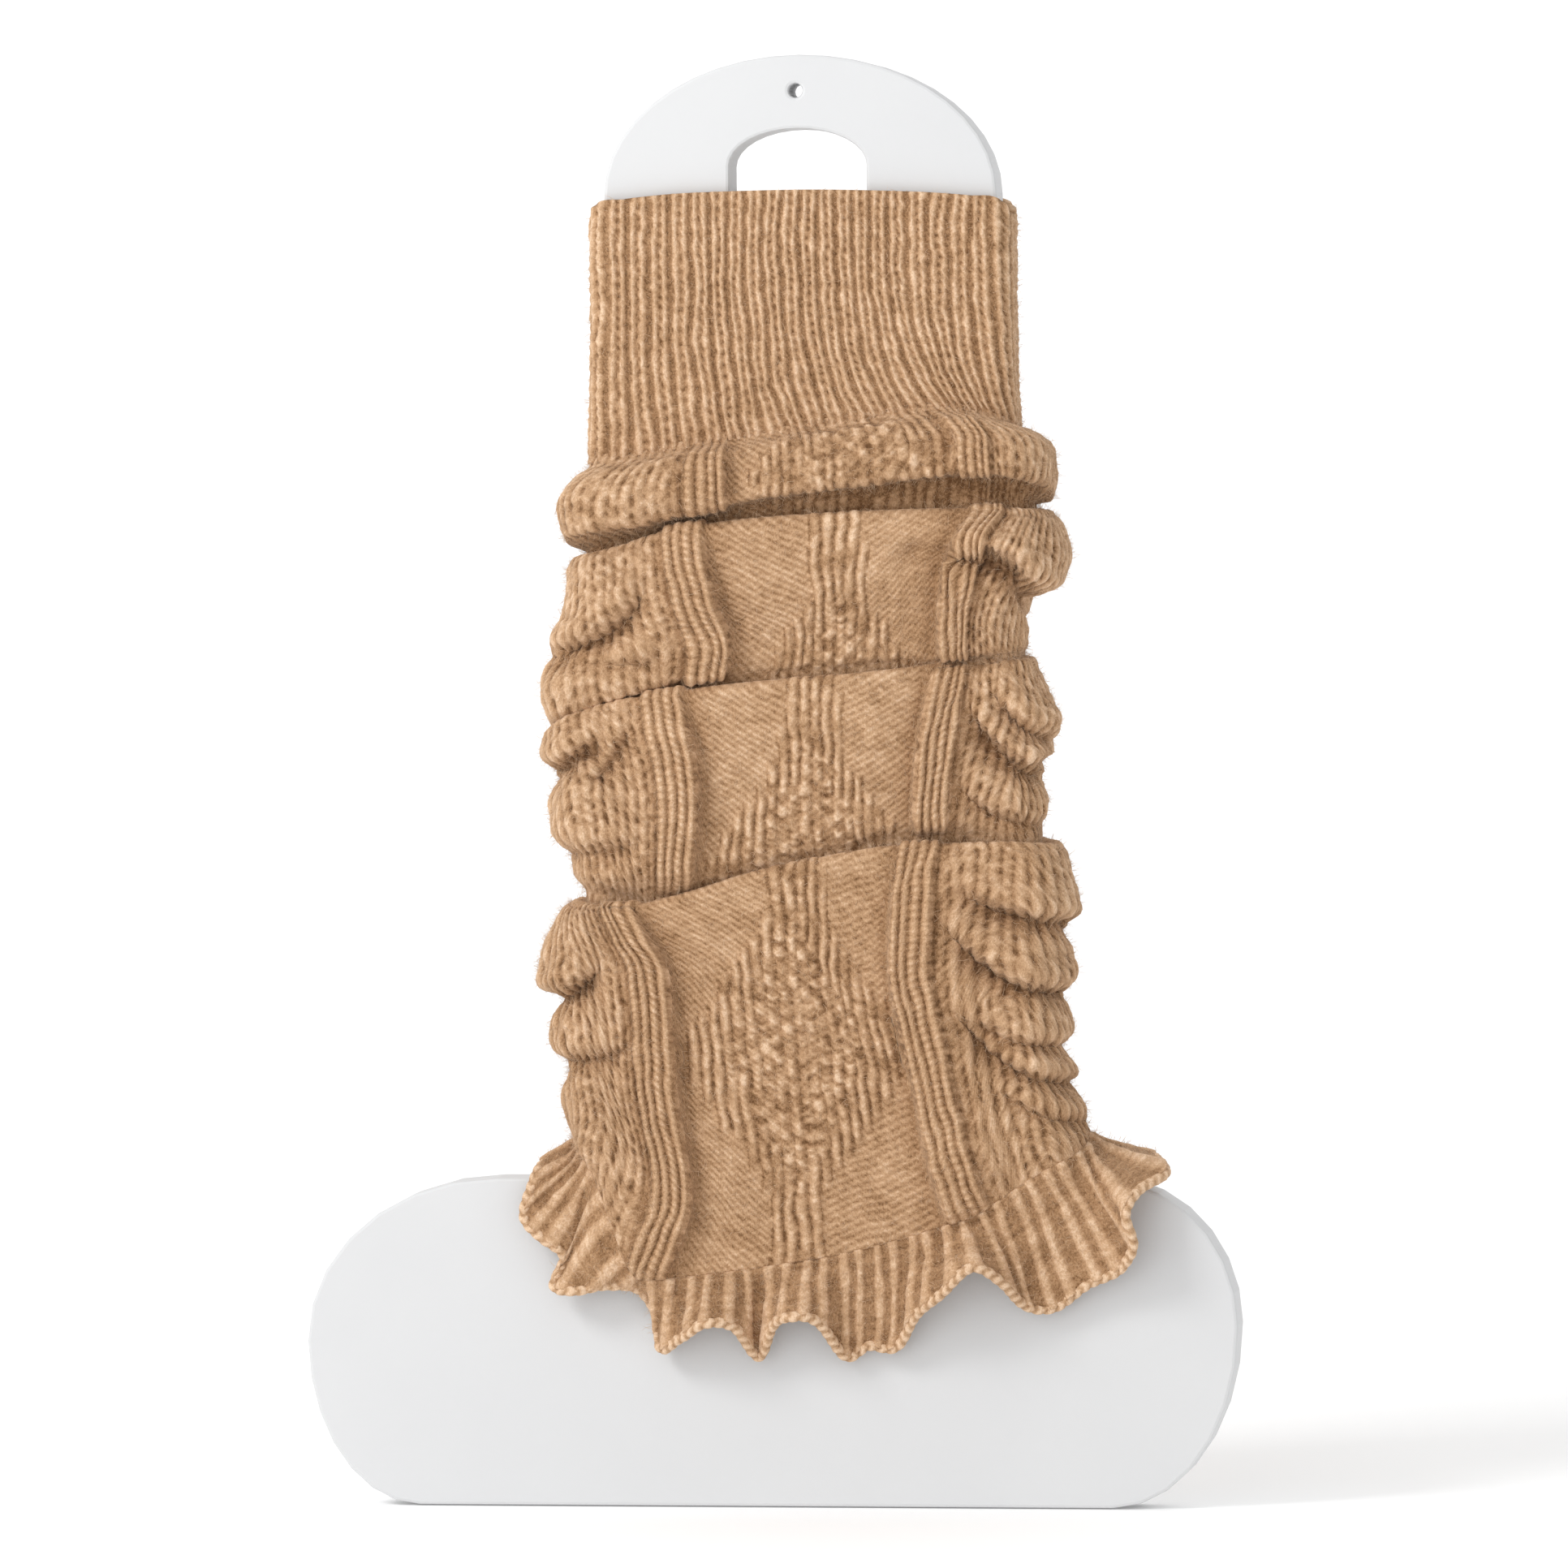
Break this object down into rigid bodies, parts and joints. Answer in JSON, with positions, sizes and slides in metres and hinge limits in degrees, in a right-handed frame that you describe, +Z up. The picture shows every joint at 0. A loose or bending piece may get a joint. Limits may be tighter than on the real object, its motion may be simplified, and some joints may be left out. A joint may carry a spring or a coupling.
{
  "type": "leg warmer on leg-shaped display board",
  "caption": "Slouched knitted leg warmer with a ribbed cuff, raised rib bands and a gathered hem, on a flat standing display board with a hand slot.",
  "frame": {"origin": "middle of the flat lower edge of the board's foot, under the middle of the whole part's box", "axes": "+Z up along the leg, -Y out of the front of the knit, +X to the right seen from the front"},
  "size_m": [0.29, 0.0641, 0.4475],
  "materials": {
    "board": "smooth matt white foam plastic",
    "knit": "soft camel wool knit with a slight halo"
  },
  "bodies": {
    "root": {"display_board": "board", "ribbed_cuff": "knit", "leg_body": "knit", "ruffled_hem": "knit"}
  },
  "joints": []
}
